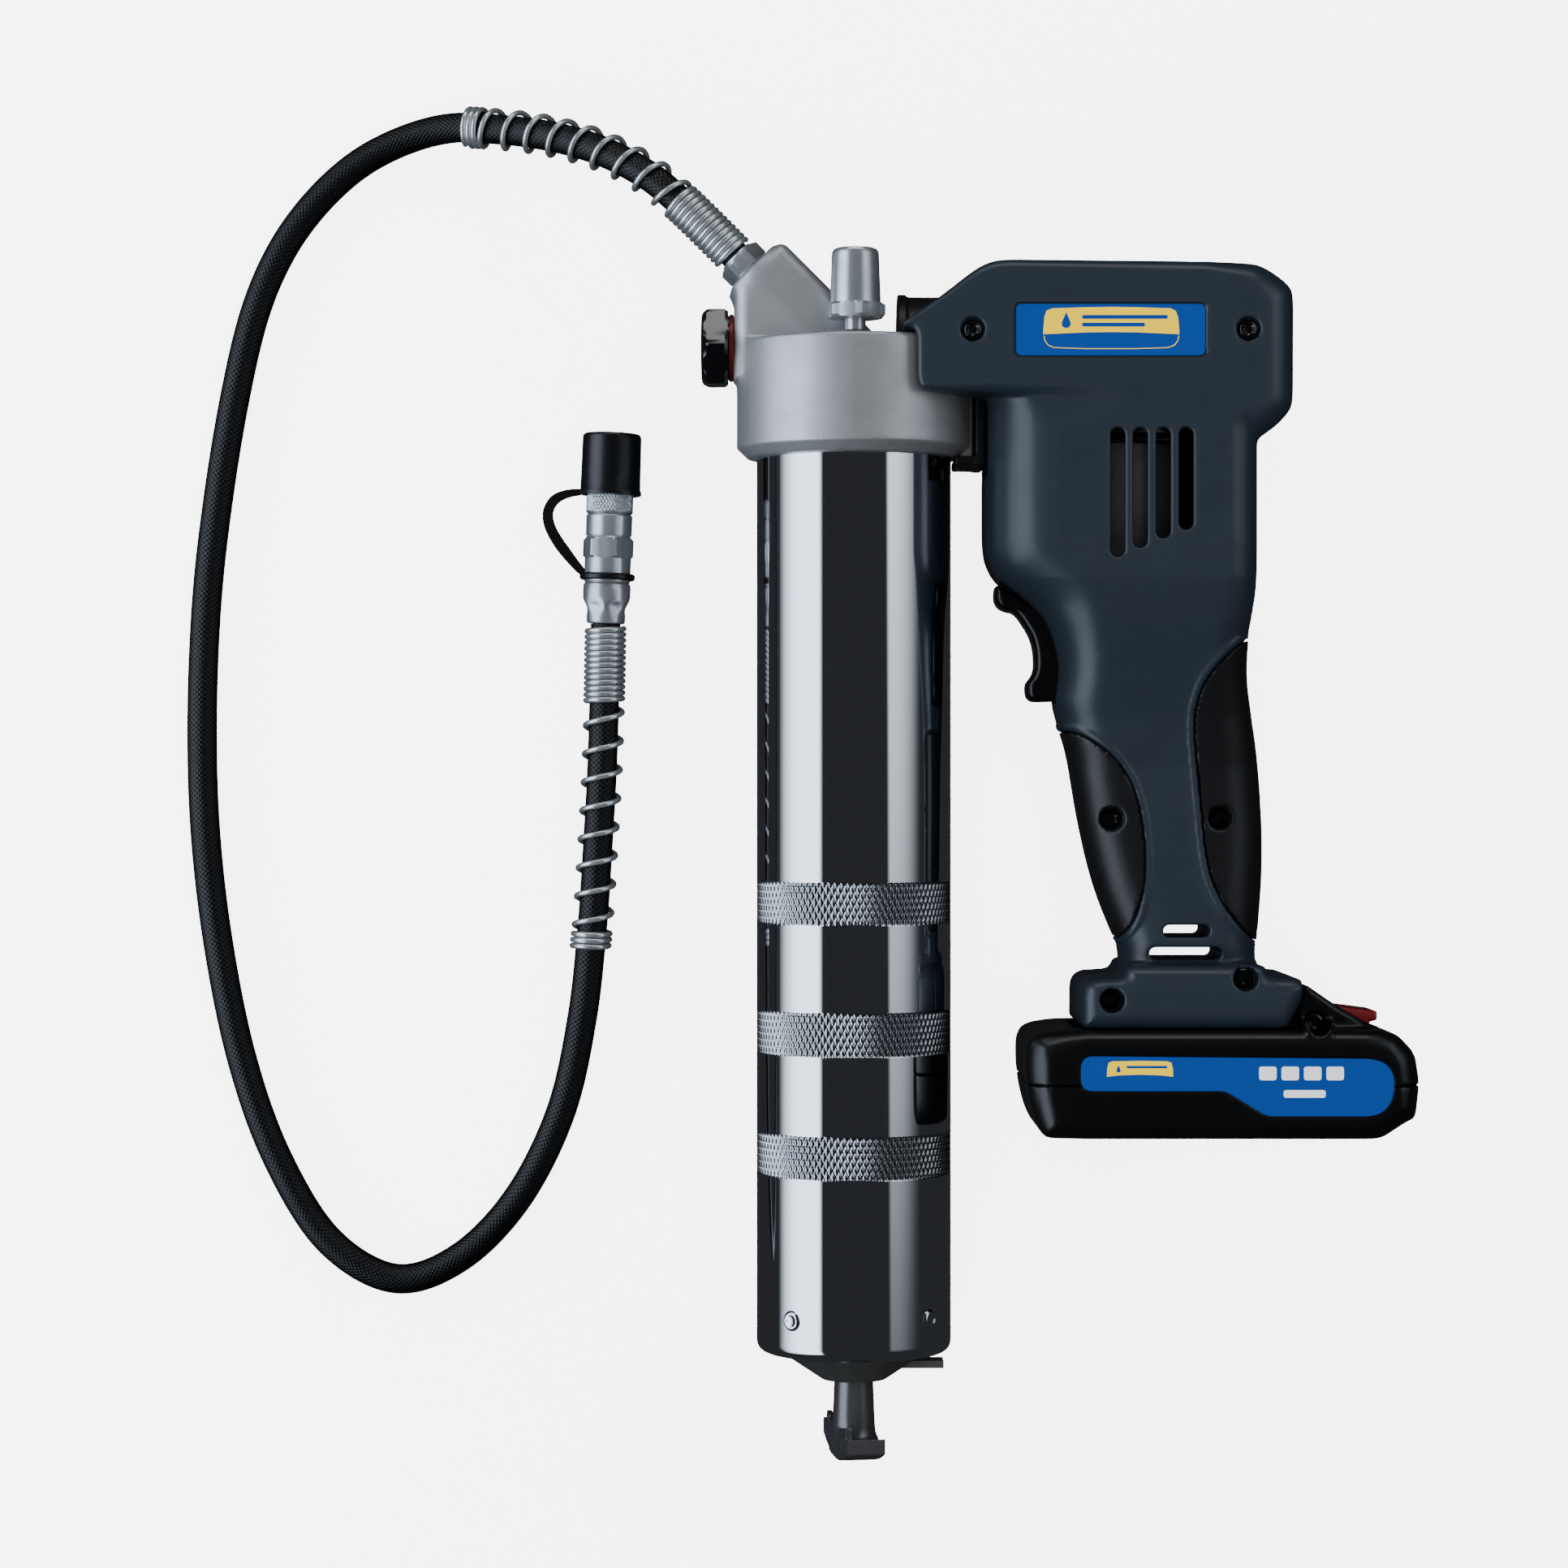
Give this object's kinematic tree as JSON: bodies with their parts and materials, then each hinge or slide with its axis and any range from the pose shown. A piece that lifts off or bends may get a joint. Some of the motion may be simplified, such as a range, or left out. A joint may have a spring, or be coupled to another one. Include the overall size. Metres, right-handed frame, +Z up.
{
  "type": "cordless grease gun",
  "caption": "Cordless grease gun lying on its side: chrome grease barrel, cast pump head, motor housing with pistol grip and slide-on battery, and a whip hose with spring guards and a coupler.",
  "frame": {"origin": "middle of the gun's own box, without the hose, on the surface that it lies on", "axes": "+X from the barrel to the battery, +Y along the barrel to the head, +Z up out of the gun's front face"},
  "size_m": [0.3625, 0.4013, 0.069],
  "materials": {
    "tube_chrome": "polished",
    "cap_steel": "satin black",
    "rivet_steel": "plated",
    "seal_rubber": "matte",
    "rod_steel": "ground",
    "black_steel": "gloss black",
    "zinc_plate": "zinc plated",
    "spring_steel": "bright",
    "cast_aluminium": "blasted casting",
    "copper_washer": "copper",
    "adapter_nylon": "matte",
    "gear_steel": "sintered",
    "motor_steel": "plated can",
    "copper_winding": "enamelled wire",
    "housing_plastic": "satin slate",
    "screw_black": "black oxide",
    "badge_blue": "printed label",
    "grip_rubber": "soft overmould",
    "trigger_plastic": "satin black",
    "inner_plastic": "moulded",
    "battery_plastic": "fine texture",
    "cell_wrap": "shrink wrap",
    "button_red": "moulded",
    "hose_rubber": "cloth wrapped"
  },
  "bodies": {
    "gun_body": {"head_casting": "cast_aluminium", "plunger_bore_plug": "black_steel", "plug_washer": "copper_washer", "filler_nipple": "zinc_plate", "plunger_seal": "seal_rubber", "check_spring": "spring_steel", "drive_adapter": "adapter_nylon", "ring_gear": "gear_steel", "motor_can": "motor_steel", "front_shell": "housing_plastic", "rear_shell": "housing_plastic", "shell_screws": "screw_black", "side_badges": "badge_blue", "finger_grip": "grip_rubber", "palm_grip": "grip_rubber", "trigger_spring": "spring_steel", "trigger_switch": "inner_plastic", "terminal_block": "inner_plastic", "hose_inlet_fitting": "zinc_plate", "hose": "hose_rubber", "upper_spring_guard": "spring_steel", "lower_spring_guard": "spring_steel", "coupler_ferrule": "zinc_plate", "coupler_body": "zinc_plate", "coupler_sleeve": "zinc_plate", "coupler_jaws": "rod_steel", "cap_strap": "seal_rubber"},
    "barrel_seat": {"barrel_gasket": "seal_rubber"},
    "barrel": {"barrel_tube": "tube_chrome", "barrel_end_cap": "cap_steel", "end_cap_rivets": "rivet_steel", "follower_spring": "spring_steel"},
    "rod": {"follower_rod": "rod_steel", "rod_handle": "black_steel", "follower_plate": "zinc_plate", "follower_cup": "seal_rubber"},
    "latch": {"rod_latch": "cap_steel"},
    "plunger_unit": {"plunger": "rod_steel", "crank_yoke": "gear_steel"},
    "carrier": {"planet_carrier": "gear_steel", "crank_roller": "rod_steel"},
    "planet_1": {"planet_gear_1": "gear_steel"},
    "planet_2": {"planet_gear_2": "gear_steel"},
    "planet_3": {"planet_gear_3": "gear_steel"},
    "rotor": {"motor_rotor": "copper_winding", "motor_pinion": "gear_steel"},
    "trigger": {"trigger": "trigger_plastic"},
    "battery": {"battery_tray": "battery_plastic", "battery_lid": "battery_plastic", "battery_cells": "cell_wrap", "battery_labels": "badge_blue", "battery_screws": "screw_black", "release_spring": "spring_steel"},
    "release": {"release_button": "button_red"},
    "cap": {"dust_cap": "seal_rubber"},
    "valve_ball": {"check_ball": "rod_steel"}
  },
  "joints": [
    {"name": "barrel_lead", "type": "slide", "parent": "gun_body", "child": "barrel_seat", "axis": [0, -1, 0], "range_m": [0, 0.0131]},
    {"name": "barrel_turn", "type": "hinge", "parent": "barrel_seat", "child": "barrel", "pos_m": [-0.0586, 0.1172, 0.0345], "axis": [0, -1, 0], "range_deg": [0, 1440]},
    {"name": "rod_slide", "type": "slide", "parent": "barrel", "child": "rod", "axis": [0, -1, 0], "range_m": [0, 0.2], "stiffness_N_per_m": 250, "springref_m": -0.04, "deforming": ["follower_spring"]},
    {"name": "latch_tilt", "type": "hinge", "parent": "barrel", "child": "latch", "pos_m": [-0.0675, -0.15, 0.0345], "axis": [0, 0, 1], "range_deg": [0, 3], "stiffness_Nm_per_rad": 0.4, "springref_deg": -2.86},
    {"name": "plunger_stroke", "type": "slide", "parent": "gun_body", "child": "plunger_unit", "axis": [1, 0, 0], "range_m": [0, 0.012]},
    {"name": "carrier_spin", "type": "hinge", "parent": "gun_body", "child": "carrier", "pos_m": [0.0184, 0.1172, 0.0345], "axis": [0, 1, 0], "continuous": true},
    {"name": "rotor_spin", "type": "hinge", "parent": "gun_body", "child": "rotor", "pos_m": [0.0184, 0.1172, 0.0345], "axis": [0, 1, 0], "continuous": true},
    {"name": "trigger_pull", "type": "slide", "parent": "gun_body", "child": "trigger", "axis": [1, 0, 0], "range_m": [0, 0.005], "stiffness_N_per_m": 800, "springref_m": -0.006, "deforming": ["trigger_spring"]},
    {"name": "battery_slide", "type": "slide", "parent": "gun_body", "child": "battery", "axis": [1, 0, 0], "range_m": [0, 0.09]},
    {"name": "battery_release", "type": "slide", "parent": "battery", "child": "release", "axis": [0, -1, 0], "range_m": [0, 0.003], "stiffness_N_per_m": 1200, "springref_m": -0.002, "deforming": ["release_spring"]},
    {"name": "cap_pull", "type": "slide", "parent": "gun_body", "child": "cap", "axis": [0.035, 0.9994, 0], "range_m": [0, 0.02]},
    {"name": "valve_lift", "type": "slide", "parent": "gun_body", "child": "valve_ball", "axis": [-0.7071, 0.7071, 0], "range_m": [0, 0.0012], "stiffness_N_per_m": 400, "springref_m": -0.001, "deforming": ["check_spring"]},
    {"name": "planet_1_spin", "type": "hinge", "parent": "carrier", "child": "planet_1", "pos_m": [0.0184, 0.1172, 0.0195], "axis": [0, 1, 0], "continuous": true},
    {"name": "planet_2_spin", "type": "hinge", "parent": "carrier", "child": "planet_2", "pos_m": [0.00541, 0.1172, 0.042], "axis": [0, 1, 0], "continuous": true},
    {"name": "planet_3_spin", "type": "hinge", "parent": "carrier", "child": "planet_3", "pos_m": [0.03139, 0.1172, 0.042], "axis": [0, 1, 0], "continuous": true}
  ],
  "couplings": [
    {"joint": "barrel_lead", "follows": "barrel_turn", "m_per_rad": 0.00051725},
    {"joint": "rotor_spin", "follows": "carrier_spin", "ratio": 5},
    {"joint": "planet_1_spin", "follows": "carrier_spin", "ratio": -2.6667},
    {"joint": "planet_2_spin", "follows": "carrier_spin", "ratio": -2.6667},
    {"joint": "planet_3_spin", "follows": "carrier_spin", "ratio": -2.6667}
  ]
}
